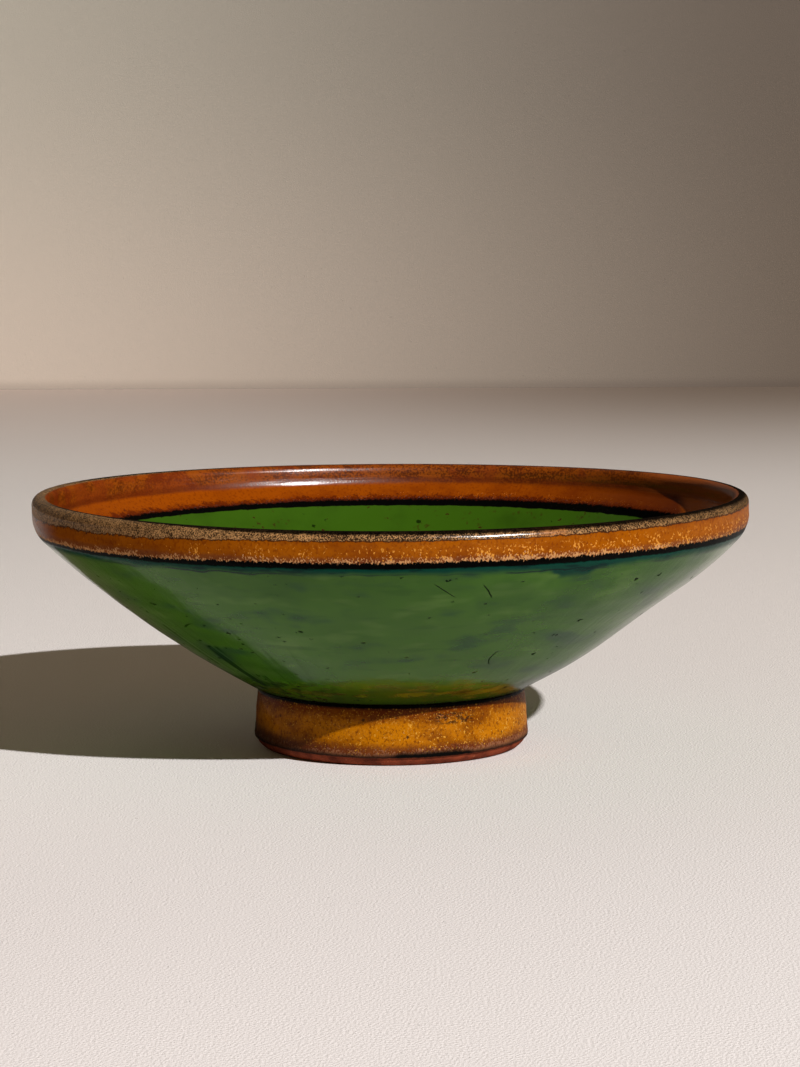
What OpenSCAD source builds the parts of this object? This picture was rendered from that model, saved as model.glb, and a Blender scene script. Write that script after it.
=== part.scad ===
// Footed pottery bowl: a flared bowl luted to a low foot ring, with its coats of glaze.
// Millimetres, +Z up, origin on the table at the middle of the foot.

/* [Bowl] */
// Overall diameter across the glazed rim
bowl_d = 180; // [150:1:220]
// Overall height to the top of the glazed lip
bowl_h = 64; // [53:0.5:78]
// Thickness of the clay wall
wall_t = 4.1; // [3:0.1:5]
// Swell of the outer wall beyond a straight cone
wall_belly = 2.25; // [1.5:0.05:4]
// Height of the rim, from the corner that the shoulder rounds off to the top of the lip
rim_h = 8.1; // [6.5:0.1:10]
// Radius of the shoulder between the wall and the upright rim
shoulder_r = 8; // [5:0.5:10]
// Thickness of the clay lip
lip_t = 3.4; // [2.6:0.1:4.4]
// Radius of the cove inside the rim
cove_r = 4; // [2:0.5:5]
// Thickness of the clay floor at its centre
floor_t = 5; // [4:0.1:6.5]
// Height of the bowl's flat base above the table
base_z = 6; // [4.5:0.1:7.5]

/* [Foot ring] */
// Diameter of the glazed foot at the table, before its edge is rounded
foot_d = 70; // [58:0.5:84]
// Diameter of the glazed foot where it meets the wall
foot_top_d = 67.6; // [56:0.1:82]
// Height at which the glazed foot meets the wall
foot_h = 14.9; // [12:0.1:18]
// Bore of the foot ring
foot_bore_d = 53; // [44:0.5:58]
// Radius of the ring's outer lower edge
foot_edge_r = 3.3; // [2.5:0.1:4]
// Radius of the ring's inner lower edge
bore_edge_r = 1.5; // [1:0.1:2.5]
// Thickness of the slip that joins the ring to the bowl
slip_t = 0.5; // [0.3:0.1:1]

/* [Glaze] */
// Thickness of a coat of glaze
glaze_t = 0.4; // [0.3:0.05:0.6]
// Depth of the lip band below the top of the lip, outside
lip_band_out = 2.2; // [1.8:0.1:3]
// Depth of the lip band below the top of the lip, inside
lip_band_in = 5.2; // [4:0.1:6]
// Width of the amber band outside the rim
amber_out = 5.2; // [4:0.1:8]
// Width of the amber band inside the rim
amber_in = 4.5; // [3:0.1:6]
// Width of the black line below the outer amber band
line_out = 1.4; // [0.6:0.1:2]
// Width of the black line below the inner amber band
line_in = 1.5; // [0.6:0.1:2]
// Reach of the joint line below the joint, on the foot
joint_line_down = 0.5; // [0.3:0.1:1.5]
// Reach of the joint line above the joint, on the wall
joint_line_up = 0.3; // [0.2:0.1:1]
// Height of the bare clay edge of the foot
bare_h = 2.4; // [1.5:0.1:2.8]
// Width of the dark line above the bare edge
foot_line_w = 0.9; // [0.5:0.1:1.5]

/* [Hidden] */
$fn = 96;
wall_steps = 24;
bend_steps = 10;

// The outer wall is an arc from the foot to the corner that the shoulder rounds off.
rim_r = bowl_d / 2;
joint_pt = [foot_top_d / 2, foot_h];
corner_pt = [rim_r, bowl_h - rim_h];
wall_run = corner_pt - joint_pt;
wall_chord = norm(wall_run);
wall_r = (pow(wall_chord / 2, 2) + pow(wall_belly, 2)) / (2 * wall_belly);
wall_in = [-wall_run.y, wall_run.x] / wall_chord;
wall_c = (joint_pt + corner_pt) / 2 + wall_in * (wall_r - wall_belly);
clay_wall_r = wall_r - glaze_t;
inner_wall_r = wall_r - wall_t - 2 * glaze_t;

// Each bend touches the wall's arc, so its centre follows from its radius and one offset.
shoulder_c = bend_centre(rim_r - shoulder_r, wall_r - shoulder_r);
shoulder_a = heading(shoulder_c - wall_c);
lip_r = lip_t / 2 + glaze_t;
lip_c = [rim_r - lip_r, bowl_h - lip_r];
cove_c = bend_centre(rim_r - 2 * lip_r - cove_r, inner_wall_r - cove_r);
cove_a = heading(cove_c - wall_c);

// The floor is a dish centred on the axis that runs smoothly into the inner wall.
floor_z = base_z + floor_t + glaze_t;
floor_drop = wall_c.y - floor_z;
floor_reach = pow(inner_wall_r, 2) - pow(wall_c.x, 2) - pow(floor_drop, 2);
floor_r = floor_reach / (2 * (inner_wall_r - floor_drop));
floor_c = [0, floor_z + floor_r];
floor_a = heading(floor_c - wall_c);

// The foot's side leans in by foot_lean from its lower edge to the joint.
bore_r = foot_bore_d / 2;
foot_lean = atan((foot_d - foot_top_d) / 2 / foot_h);
foot_out = [cos(foot_lean), sin(foot_lean)];
foot_up = [-sin(foot_lean), cos(foot_lean)];
foot_edge_c = [foot_d / 2 - (glaze_t + foot_edge_r * (1 + foot_out.y)) / foot_out.x, foot_edge_r];
seat_r = clay_wall_r + slip_t;
clay_joint_pt = foot_side_meets(glaze_t, clay_wall_r);
seat_pt = foot_side_meets(glaze_t, seat_r);

// Directions from the wall's centre to where its stretches begin and end
base_a = asin((base_z - wall_c.y) / clay_wall_r);
joint_a = heading(joint_pt - wall_c);
clay_joint_a = heading(clay_joint_pt - wall_c);
seat_a = heading(seat_pt - wall_c);
bore_a = -acos((bore_r - wall_c.x) / clay_wall_r);
bore_seat_a = -acos((bore_r - wall_c.x) / seat_r);

// Heights at which one coat gives way to the next
lip_low_out = bowl_h - lip_band_out;
lip_low_in = bowl_h - lip_band_in;
amber_low_out = lip_low_out - amber_out;
amber_low_in = lip_low_in - amber_in;
green_top_out = amber_low_out - line_out;
green_top_in = amber_low_in - line_in;
joint_top = foot_h + joint_line_up;
joint_low = foot_h - joint_line_down;
foot_line_top = bare_h + foot_line_w;

clay_colour = "#8a4632";
slip_colour = "#a05a40";
green_colour = "#3f5a28";
liner_colour = "#3a5f12";
amber_colour = "#b86a12";
lip_colour = "#4a3826";
line_colour = "#141310";

function heading(v) = atan2(v.y, v.x);

// Centre of a bend at radius r from the axis and distance d from the wall's centre
function bend_centre(r, d) = [r, wall_c.y - sqrt(pow(d, 2) - pow(r - wall_c.x, 2))];

// Points of an arc after its first one, so that arcs can follow each other
function arc(c, r, from, to, steps) =
    [for (i = [1:steps]) let (a = from + (to - from) * i / steps) c + r * [cos(a), sin(a)]];

function backwards(path) = [for (i = [len(path) - 1:-1:0]) path[i]];

// Where the foot's side, set in by inset, meets a circle of radius r about the wall's centre
function foot_side_meets(inset, r) =
    let (start = [foot_d / 2, 0] - inset * foot_out)
    let (m = start - wall_c)
    let (along = m * foot_up)
    start + foot_up * (-along - sqrt(along * along - m * m + r * r));

// Rounded edge and side of the foot, for clay at inset glaze_t and glaze at inset 0
function foot_path(inset, from) =
    arc(foot_edge_c, foot_edge_r + glaze_t - inset, from, foot_lean, bend_steps);

// Outside of the bowl from the foot joint to the top of the lip
function outside_path(inset, from) = concat(
    arc(wall_c, wall_r - inset, from, shoulder_a, wall_steps),
    arc(shoulder_c, shoulder_r - inset, shoulder_a, 0, bend_steps),
    [[rim_r - inset, lip_c.y]],
    arc(lip_c, lip_r - inset, 0, 90, bend_steps));

// Inside of the bowl from the top of the lip to the middle of the floor
function inside_path(inset) = concat(
    arc(lip_c, lip_r - inset, 90, 180, bend_steps),
    [cove_c + [cove_r + inset, 0]],
    arc(cove_c, cove_r + inset, 0, cove_a, bend_steps),
    arc(wall_c, inner_wall_r + inset, cove_a, floor_a, wall_steps),
    arc(floor_c, floor_r + inset, floor_a, -90, wall_steps));

module outside_coat() {
    glaze_side = concat(foot_path(0, -90), [joint_pt], outside_path(0, joint_a));
    clay_side = concat(foot_path(glaze_t, -90), [seat_pt, clay_joint_pt],
        outside_path(glaze_t, clay_joint_a));
    polygon(concat(glaze_side, backwards(clay_side)));
}

module inside_coat() {
    lip_top = [lip_c.x, bowl_h];
    glaze_side = concat([lip_top], inside_path(0));
    clay_side = concat([lip_top - [0, glaze_t]], inside_path(glaze_t));
    polygon(concat(glaze_side, backwards(clay_side)));
}

// The stretch of a coat between two heights
module band(low, high) {
    intersection() {
        children();
        translate([0, low]) square([bowl_d, high - low]);
    }
}

module bowl_body() {
    color(clay_colour) rotate_extrude() polygon(concat(
        [[0, base_z], wall_c + clay_wall_r * [cos(base_a), sin(base_a)]],
        arc(wall_c, clay_wall_r, base_a, bore_a, bend_steps),
        arc(wall_c, clay_wall_r, bore_a, clay_joint_a, bend_steps),
        outside_path(glaze_t, clay_joint_a),
        inside_path(glaze_t)));
}

module foot_ring() {
    color(clay_colour) rotate_extrude() polygon(concat(
        arc([bore_r + bore_edge_r, bore_edge_r], bore_edge_r, 180, 270, bend_steps),
        [[foot_edge_c.x, 0]],
        foot_path(glaze_t, -90),
        [seat_pt],
        arc(wall_c, seat_r, seat_a, bore_seat_a, bend_steps),
        [[bore_r, bore_edge_r]]));
}

module luting_slip() {
    color(slip_colour) rotate_extrude() polygon(concat(
        [wall_c + clay_wall_r * [cos(bore_a), sin(bore_a)]],
        arc(wall_c, clay_wall_r, bore_a, clay_joint_a, bend_steps),
        [seat_pt],
        arc(wall_c, seat_r, seat_a, bore_seat_a, bend_steps)));
}

module outer_green_glaze() {
    color(green_colour) rotate_extrude() band(joint_top, green_top_out) outside_coat();
}

module inner_green_glaze() {
    color(liner_colour) rotate_extrude() band(0, green_top_in) inside_coat();
}

module outer_amber_glaze() {
    color(amber_colour) rotate_extrude() band(amber_low_out, lip_low_out) outside_coat();
}

module inner_amber_glaze() {
    color(amber_colour) rotate_extrude() band(amber_low_in, lip_low_in) inside_coat();
}

module lip_glaze() {
    color(lip_colour) rotate_extrude() {
        band(lip_low_out, bowl_h) outside_coat();
        band(lip_low_in, bowl_h) inside_coat();
    }
}

module outer_rim_line() {
    color(line_colour) rotate_extrude() band(green_top_out, amber_low_out) outside_coat();
}

module inner_rim_line() {
    color(line_colour) rotate_extrude() band(green_top_in, amber_low_in) inside_coat();
}

module foot_joint_line() {
    color(line_colour) rotate_extrude() band(joint_low, joint_top) outside_coat();
}

module foot_amber_glaze() {
    color(amber_colour) rotate_extrude() band(foot_line_top, joint_low) outside_coat();
}

module foot_edge_line() {
    color(line_colour) rotate_extrude() band(bare_h, foot_line_top) outside_coat();
}

bowl_body();
foot_ring();
luting_slip();
outer_green_glaze();
inner_green_glaze();
outer_amber_glaze();
inner_amber_glaze();
lip_glaze();
outer_rim_line();
inner_rim_line();
foot_joint_line();
foot_amber_glaze();
foot_edge_line();
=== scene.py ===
import math

import bpy
from mathutils import Matrix, Vector


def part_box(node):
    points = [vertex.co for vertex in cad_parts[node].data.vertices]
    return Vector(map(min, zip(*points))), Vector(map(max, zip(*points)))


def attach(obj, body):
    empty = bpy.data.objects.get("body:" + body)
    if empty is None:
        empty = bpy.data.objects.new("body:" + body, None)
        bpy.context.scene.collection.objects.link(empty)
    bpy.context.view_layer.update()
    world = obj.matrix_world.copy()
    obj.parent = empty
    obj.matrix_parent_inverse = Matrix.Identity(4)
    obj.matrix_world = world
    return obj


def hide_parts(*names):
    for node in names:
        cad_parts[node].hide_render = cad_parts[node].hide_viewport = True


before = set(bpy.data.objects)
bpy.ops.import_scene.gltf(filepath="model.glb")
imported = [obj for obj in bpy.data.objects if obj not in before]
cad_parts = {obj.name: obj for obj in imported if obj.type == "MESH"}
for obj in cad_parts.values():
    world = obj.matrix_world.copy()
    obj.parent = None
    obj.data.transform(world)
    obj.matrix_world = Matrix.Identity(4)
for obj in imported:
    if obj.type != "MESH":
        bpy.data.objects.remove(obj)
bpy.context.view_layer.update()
mm = 0.001  # sizes below are in millimetres, the frame is in metres
tiny = 1e-6  # metres within which the points of a mesh are merged
sameSpot = 1e-4  # millimetres within which two points of an outline are one


def mathOperator(operation, reflected=False):
    def joined(wire, other):
        values = (other, wire) if reflected else (wire, other)
        return wire.bench.math(operation, *values)
    return joined


class Wire:
    # an output socket: arithmetic on wires adds Math nodes to their tree

    def __init__(self, bench, socket):
        self.bench = bench
        self.socket = socket

    def sibling(self, name):
        return Wire(self.bench, self.socket.node.outputs[name])

    __add__ = mathOperator("ADD")
    __radd__ = mathOperator("ADD", True)
    __sub__ = mathOperator("SUBTRACT")
    __rsub__ = mathOperator("SUBTRACT", True)
    __mul__ = mathOperator("MULTIPLY")
    __rmul__ = mathOperator("MULTIPLY", True)
    __truediv__ = mathOperator("DIVIDE")
    __rtruediv__ = mathOperator("DIVIDE", True)


class Bench:
    # builds one node tree, of geometry or of a material

    def __init__(self, tree):
        self.tree = tree
        tree.nodes.clear()

    def node(self, kind, settings=None, sockets=None, out=0):
        made = self.tree.nodes.new(kind)
        for name, value in (settings or {}).items():
            setattr(made, name, value)
        for key, value in (sockets or {}).items():
            if isinstance(value, Wire):
                self.tree.links.new(value.socket, made.inputs[key])
            else:
                made.inputs[key].default_value = value
        return Wire(self, made.outputs[out]) if made.outputs else None

    def math(self, operation, *values):
        return self.node("ShaderNodeMath", {"operation": operation}, dict(enumerate(values)))

    def vectorMath(self, operation, *values):
        return self.node("ShaderNodeVectorMath", {"operation": operation}, dict(enumerate(values)))

    def vector(self, x, y, z):
        return self.node("ShaderNodeCombineXYZ", None, {"X": x, "Y": y, "Z": z})

    def apart(self, vector):
        return self.node("ShaderNodeSeparateXYZ", None, {"Vector": vector})

    def fade(self, value, low, high):
        # 0 at low, 1 at high, smooth between them, either way round
        return self.node("ShaderNodeMapRange", {"interpolation_type": "SMOOTHSTEP"},
                         {"Value": value, "From Min": low, "From Max": high})

    def noise(self, vector, seed, detail=2.0, rough=0.5):
        return self.node("ShaderNodeTexNoise", {"noise_dimensions": "4D"},
                         {"Vector": vector, "W": seed, "Scale": 1.0, "Detail": detail, "Roughness": rough})


# The turned form: the outline that every piece is cut from

bowlForm = {
    "wallBelly": 2.25,
    "rimHeight": 8.1,
    "shoulderRadius": 8.0,
    "lipThickness": 3.4,
    "coveRadius": 4.0,
    "clayWall": 4.1,
    "coat": 0.4,
    "footDiameter": 70.0,
    "footTopDiameter": 67.6,
    "footHeight": 14.9,
    "footBore": 53.0,
    "footEdgeRadius": 3.3,
    "boreEdgeRadius": 1.5,
    "slip": 0.5,
}


def nodeTop(name):
    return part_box(name)[1].z / mm


def nodeLow(name):
    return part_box(name)[0].z / mm


glazeEdges = {
    "lipOut": nodeTop("outer_amber_glaze"),
    "amberOut": nodeLow("outer_amber_glaze"),
    "greenOut": nodeLow("outer_rim_line"),
    "lipIn": nodeTop("inner_amber_glaze"),
    "amberIn": nodeLow("inner_amber_glaze"),
    "greenIn": nodeLow("inner_rim_line"),
    "axisIn": 0.0,  # under the floor, so that a coat runs in to the axis
    "jointTop": nodeTop("foot_joint_line"),
    "jointLow": nodeLow("foot_joint_line"),
    "footLineTop": nodeTop("foot_edge_line"),
    "footBare": nodeLow("foot_edge_line"),
}


def heading(v):
    return math.degrees(math.atan2(v.y, v.x))


def onCircle(centre, radius, degrees):
    return centre + radius * Vector((math.cos(math.radians(degrees)), math.sin(math.radians(degrees))))


def bendCentre(wall, radius, distance):
    return Vector((radius, wall.y - math.sqrt(distance ** 2 - (radius - wall.x) ** 2)))


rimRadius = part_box("lip_glaze")[1].x / mm
bowlHeight = nodeTop("lip_glaze")
baseHeight = nodeLow("bowl_body")
floorHeight = nodeLow("inner_green_glaze") + bowlForm["coat"]
coat = bowlForm["coat"]

# the outer wall is an arc from the foot joint to the corner that the shoulder rounds off
jointPoint = Vector((bowlForm["footTopDiameter"] / 2, bowlForm["footHeight"]))
cornerPoint = Vector((rimRadius, bowlHeight - bowlForm["rimHeight"]))
wallRun = cornerPoint - jointPoint
wallRadius = ((wallRun.length / 2) ** 2 + bowlForm["wallBelly"] ** 2) / (2 * bowlForm["wallBelly"])
wallInward = Vector((-wallRun.y, wallRun.x)).normalized()
wallCentre = (jointPoint + cornerPoint) / 2 + wallInward * (wallRadius - bowlForm["wallBelly"])
innerRadius = wallRadius - bowlForm["clayWall"] - 2 * coat

shoulderRadius = bowlForm["shoulderRadius"]
shoulderCentre = bendCentre(wallCentre, rimRadius - shoulderRadius, wallRadius - shoulderRadius)
shoulderAngle = heading(shoulderCentre - wallCentre)
lipRadius = bowlForm["lipThickness"] / 2 + coat
lipCentre = Vector((rimRadius - lipRadius, bowlHeight - lipRadius))
coveRadius = bowlForm["coveRadius"]
coveCentre = bendCentre(wallCentre, rimRadius - 2 * lipRadius - coveRadius, innerRadius - coveRadius)
coveAngle = heading(coveCentre - wallCentre)

# the floor is a dish about the axis that runs into the inner wall
floorDrop = wallCentre.y - floorHeight
floorReach = innerRadius ** 2 - wallCentre.x ** 2 - floorDrop ** 2
floorRadius = floorReach / (2 * (innerRadius - floorDrop))
floorCentre = Vector((0, floorHeight + floorRadius))
floorAngle = heading(floorCentre - wallCentre)

# the foot leans in towards the joint
footEdgeRadius = bowlForm["footEdgeRadius"]
footTaper = (bowlForm["footDiameter"] - bowlForm["footTopDiameter"]) / 2
footLean = math.atan(footTaper / bowlForm["footHeight"])
footOut = Vector((math.cos(footLean), math.sin(footLean)))
footUp = Vector((-math.sin(footLean), math.cos(footLean)))
footEdgeReach = (coat + footEdgeRadius * (1 + footOut.y)) / footOut.x
footEdgeCentre = Vector((bowlForm["footDiameter"] / 2 - footEdgeReach, footEdgeRadius))
boreRadius = bowlForm["footBore"] / 2
clayWallRadius = wallRadius - coat
seatRadius = clayWallRadius + bowlForm["slip"]


def footSideMeets(inset, radius):
    start = Vector((bowlForm["footDiameter"] / 2, 0)) - inset * footOut
    m = start - wallCentre
    along = m.dot(footUp)
    return start + footUp * (-along - math.sqrt(along * along - m.dot(m) + radius * radius))


def boreAngle(radius):
    return -math.degrees(math.acos((boreRadius - wallCentre.x) / radius))


def arc(centre, radius, start, end, step):
    # points about step apart, each as (radius, height, heading along the path)
    sweep = math.radians(end - start)
    count = max(2, math.ceil(abs(sweep) * radius / step))
    turn = math.copysign(1, sweep)
    points = []
    for i in range(count + 1):
        a = math.radians(start) + sweep * i / count
        points.append((centre.x + radius * math.cos(a), centre.y + radius * math.sin(a),
                       -turn * math.sin(a), turn * math.cos(a)))
    return points


def line(start, end, step):
    run = end - start
    count = max(1, math.ceil(run.length / step))
    along = run.normalized()
    return [(*(start + run * i / count), *along) for i in range(count + 1)]


def follow(*stretches):
    # stretches in a row, without the points that they share
    path = []
    for point in (p for stretch in stretches for p in stretch):
        if not path or math.dist(path[-1][:2], point[:2]) > sameSpot:
            path.append(point)
    return path


def outsidePath(inset, step):
    joint = footSideMeets(inset, wallRadius - inset)
    edgeRadius = footEdgeRadius + coat - inset
    footArc = arc(footEdgeCentre, edgeRadius, -90, math.degrees(footLean), step)
    sideStart = onCircle(footEdgeCentre, edgeRadius, math.degrees(footLean))
    wallStart = heading(joint - wallCentre)
    return follow(
        footArc,
        line(sideStart, joint, step),
        arc(wallCentre, wallRadius - inset, wallStart, shoulderAngle, step),
        arc(shoulderCentre, shoulderRadius - inset, shoulderAngle, 0, step),
        line(Vector((rimRadius - inset, shoulderCentre.y)), Vector((rimRadius - inset, lipCentre.y)), step),
        arc(lipCentre, lipRadius - inset, 0, 90, step))


def insidePath(inset, step):
    lipInner = Vector((lipCentre.x - lipRadius + inset, lipCentre.y))
    coveTop = Vector((coveCentre.x + coveRadius + inset, coveCentre.y))
    return follow(
        arc(lipCentre, lipRadius - inset, 90, 180, step),
        line(lipInner, coveTop, step),
        arc(coveCentre, coveRadius + inset, 0, coveAngle, step),
        arc(wallCentre, innerRadius + inset, coveAngle, floorAngle, step),
        arc(floorCentre, floorRadius + inset, floorAngle, -90, step))


def cutAt(path, level):
    for i, (here, there) in enumerate(zip(path, path[1:])):
        low, high = sorted((here[1], there[1]))
        if low < level - sameSpot and high > level + sameSpot:
            share = (level - here[1]) / (there[1] - here[1])
            middle = tuple(a + (b - a) * share for a, b in zip(here, there))
            return path[:i + 1] + [middle] + path[i + 1:]
    return path


def band(path, low, high):
    cut = cutAt(cutAt(path, low), high)
    return [p for p in cut if low - 2 * sameSpot <= p[1] <= high + 2 * sameSpot]


print("outline: rim radius", round(rimRadius, 2), "height", round(bowlHeight, 2))

# The wheel: a Geometry Nodes tree that turns an outline into a hand-thrown piece

handFeel = {
    "Height": bowlHeight,
    "Warp": 0.35,  # the rim rises and falls twice round
    "Sway": 0.5,  # out of round
    "Wave": 0.6,  # fuller and leaner by turns down one side of the wall
    "Dents": 0.25,  # finger marks, long round the pot
    "Seed": 4.7,
}
wheelInputs = {
    "Profile": "NodeSocketGeometry", "Finish": "NodeSocketMaterial", "Turns": "NodeSocketInt",
    **dict.fromkeys(["Drift Lobes", *handFeel], "NodeSocketFloat"),
}
# noise round the pot and up it, told apart by a shift of the seed
swayForm = {"around": 0.8, "rise": 0.004, "shift": 0.0}
dentForm = {"around": 4.2, "rise": 0.2, "shift": 11.0}
driftForm = {"around": 9.0, "rise": 0.03, "shift": 23.0, "share": 0.45}
waveForm = {"crest": 48.0, "period": 26.0, "low": 16.0, "high": 56.0, "soften": 6.0}  # heights on the wall
holdForm = {
    "flatFoot": 1.0, "freeFoot": 7.0,  # the foot stays flat on the table
    "liftFrom": 0.93,  # share of the height above which the rim lifts
    "middle": 20.0,  # radius within which the floor keeps its shape
    "sharpAngle": 38.0,
}


def potterWheel():
    tree = bpy.data.node_groups.new("potterWheel", "GeometryNodeTree")
    ids = {}
    for name, kind in wheelInputs.items():
        ids[name] = tree.interface.new_socket(name, in_out="INPUT", socket_type=kind).identifier
    tree.interface.new_socket("Pot", in_out="OUTPUT", socket_type="NodeSocketGeometry")
    wheel = Bench(tree)
    given = wheel.node("NodeGroupInput")
    profile = given.sibling("Profile")
    turns = given.sibling("Turns")
    seed = given.sibling("Seed")

    # a grid with a column for each point of the outline and a row for each step round
    count = wheel.node("GeometryNodeAttributeDomainSize", {"component": "MESH"}, {"Geometry": profile})
    rows = turns + 1
    grid = wheel.node("GeometryNodeMeshGrid", None, {"Vertices X": count, "Vertices Y": rows})
    index = wheel.node("GeometryNodeInputIndex")
    column = wheel.math("FLOOR", index / rows)
    angle = (index - column * rows) * (-2 * math.pi) / turns  # clockwise, so that faces point outwards

    def fromProfile(field):
        return wheel.node("GeometryNodeSampleIndex", {"data_type": "FLOAT_VECTOR", "domain": "POINT"},
                          {"Geometry": profile, "Value": field, "Index": column})

    point = wheel.apart(fromProfile(wheel.node("GeometryNodeInputPosition")))
    radius = point.sibling("X")
    height = point.sibling("Z")
    drift = wheel.node("GeometryNodeInputNamedAttribute", {"data_type": "FLOAT_VECTOR"}, {"Name": "drift"})
    drift = wheel.apart(fromProfile(drift))
    east = wheel.math("COSINE", angle)
    north = wheel.math("SINE", angle)

    def roundNoise(form):
        # noise that runs round the pot without a seam, from -1 to 1
        spot = wheel.vector(east * form["around"], north * form["around"], height * form["rise"])
        return wheel.noise(spot, seed + form["shift"]) * 2 - 1

    free = wheel.fade(height, holdForm["flatFoot"], holdForm["freeFoot"])
    high = height / given.sibling("Height")
    nearRim = wheel.fade(high, holdForm["liftFrom"], 1.0)
    lift = given.sibling("Warp") * wheel.math("COSINE", angle * 2) * nearRim
    sway = given.sibling("Sway") * roundNoise(swayForm) * high
    onWall = (wheel.fade(height, waveForm["low"], waveForm["low"] + waveForm["soften"])
              * wheel.fade(height, waveForm["high"], waveForm["high"] - waveForm["soften"]))
    swell = wheel.math("COSINE", (height - waveForm["crest"]) * (2 * math.pi / waveForm["period"]))
    toEast = east * 0.5 + 0.5
    wave = given.sibling("Wave") * swell * (toEast * toEast) * onWall
    dents = given.sibling("Dents") * roundNoise(dentForm) * free
    offAxis = wheel.fade(radius, 0.0, holdForm["middle"])

    lobes = wheel.math("COSINE", angle * given.sibling("Drift Lobes"))
    runs = lobes + roundNoise(driftForm) * driftForm["share"]
    newRadius = radius + (sway + wave + dents) * offAxis + drift.sibling("X") * runs
    newHeight = height + lift + drift.sibling("Z") * runs
    spot = wheel.vector(newRadius * east, newRadius * north, newHeight)
    place = wheel.vectorMath("MULTIPLY", spot, (mm, mm, mm))

    turned = wheel.node("GeometryNodeSetPosition", None, {"Geometry": grid, "Position": place})
    kept = wheel.node("GeometryNodeStoreNamedAttribute", {"data_type": "FLOAT_VECTOR", "domain": "POINT"},
                      {"Geometry": turned, "Name": "thrown", "Value": wheel.vector(radius, angle, height)})
    closed = wheel.node("GeometryNodeMergeByDistance", None, {"Geometry": kept, "Distance": tiny})
    smooth = wheel.node("GeometryNodeSetShadeSmooth", {"domain": "FACE"},
                        {"Geometry": closed, "Shade Smooth": True})
    edgeAngle = wheel.node("GeometryNodeInputMeshEdgeAngle")
    sharp = wheel.math("GREATER_THAN", edgeAngle, math.radians(holdForm["sharpAngle"]))
    crisp = wheel.node("GeometryNodeSetShadeSmooth", {"domain": "EDGE"},
                       {"Geometry": smooth, "Selection": sharp, "Shade Smooth": False})
    real = wheel.node("GeometryNodeRealizeInstances", None, {"Geometry": crisp})
    painted = wheel.node("GeometryNodeSetMaterial", None,
                         {"Geometry": real, "Material": given.sibling("Finish")})
    wheel.node("NodeGroupOutput", None, {"Pot": painted})
    return tree, ids


wheelTree, wheelIds = potterWheel()


def throwPiece(name, profile, work, finish):
    outline = bpy.data.meshes.new(name + "Outline")
    steps = [(i, i + 1) for i in range(len(profile) - 1)]
    outline.from_pydata([(p[0], 0, p[1]) for p in profile], steps, [])
    drift = outline.attributes.new("drift", "FLOAT_VECTOR", "POINT")
    for spot, p in zip(drift.data, profile):
        spot.vector = (p[4], 0, p[5])
    piece = bpy.data.objects.new(name, outline)
    bpy.context.scene.collection.objects.link(piece)
    modifier = piece.modifiers.new("wheel", "NODES")
    modifier.node_group = wheelTree
    given = {**handFeel, "Turns": work["turns"], "Drift Lobes": work["lobes"], "Finish": finish}
    for key, value in given.items():
        modifier[wheelIds[key]] = value
    depsgraph = bpy.context.evaluated_depsgraph_get()
    finished = bpy.data.meshes.new_from_object(piece.evaluated_get(depsgraph), preserve_all_data_layers=True,
                                               depsgraph=depsgraph)
    piece.modifiers.clear()
    piece.data = finished
    finished.name = name
    bpy.data.meshes.remove(outline)
    print("piece", name, len(finished.vertices), "points", len(finished.polygons), "faces")
    return piece


# How far the glaze edges drift round the pot, and the heights between which they do

edgeDrift = {
    "rimOut": {"most": 0.45, "starts": 50.0, "full": 55.0, "fades": 61.9, "ends": 63.4},
    "rimIn": {"most": 0.7, "starts": 52.9, "full": 54.3, "fades": 59.5, "ends": 62.5},
    "foot": {"most": 0.25, "starts": 0.8, "full": 2.4, "fades": 6.0, "ends": 12.0},
}


def smoothStep(value, low, high):
    t = min(1.0, max(0.0, (value - low) / (high - low)))
    return t * t * (3 - 2 * t)


def drifting(path, *names):
    # adds to each point the shift that its glaze edge makes along the path
    moved = []
    for p in path:
        amount = 0.0
        for name in names:
            d = edgeDrift[name]
            amount += d["most"] * smoothStep(p[1], d["starts"], d["full"]) * (
                1 - smoothStep(p[1], d["fades"], d["ends"]))
        sense = 1 if p[3] >= 0 else -1
        moved.append((*p, p[2] * amount * sense, p[3] * amount * sense))
    return moved


def still(path):
    return [(*p, 0.0, 0.0) for p in path]


hiddenStep = {"coat": 3, "lip": 2}  # the clay side of a coat has longer steps


def outerCoat(low, high, step, *drifts):
    glaze = drifting(band(outsidePath(0, step), low, high), *drifts)
    back = drifting(band(outsidePath(coat, step * hiddenStep["coat"]), low, high), *drifts)
    loop = glaze + back[::-1]
    return loop + loop[:1]


def innerCoat(low, high, step):
    glaze = drifting(band(insidePath(0, step), low, high), "rimIn")
    back = drifting(band(insidePath(coat, step * hiddenStep["coat"]), low, high), "rimIn")
    loop = back[::-1] + glaze
    if low < floorHeight:
        return loop
    return loop + loop[:1]


def lipCoat(step):
    low = glazeEdges["lipOut"]
    lowIn = glazeEdges["lipIn"]

    def side(inset, spacing):
        outer = drifting(band(outsidePath(inset, spacing), low, bowlHeight), "rimOut")
        inner = drifting(band(insidePath(inset, spacing), lowIn, bowlHeight), "rimIn")
        return outer + inner[1:]

    loop = side(0, step) + side(coat, step * hiddenStep["lip"])[::-1]
    return loop + loop[:1]


def bowlOutline(step):
    baseAngle = math.degrees(math.asin((baseHeight - wallCentre.y) / clayWallRadius))
    base = onCircle(wallCentre, clayWallRadius, baseAngle)
    joint = footSideMeets(coat, clayWallRadius)
    jointAngle = heading(joint - wallCentre)
    under = follow(
        line(Vector((0, baseHeight)), base, step),
        arc(wallCentre, clayWallRadius, heading(base - wallCentre), jointAngle, step))
    outer = drifting(band(outsidePath(coat, step), joint.y, bowlHeight), "rimOut")
    inner = drifting(insidePath(coat, step), "rimIn")
    return still(under) + outer[1:] + inner[1:]


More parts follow.
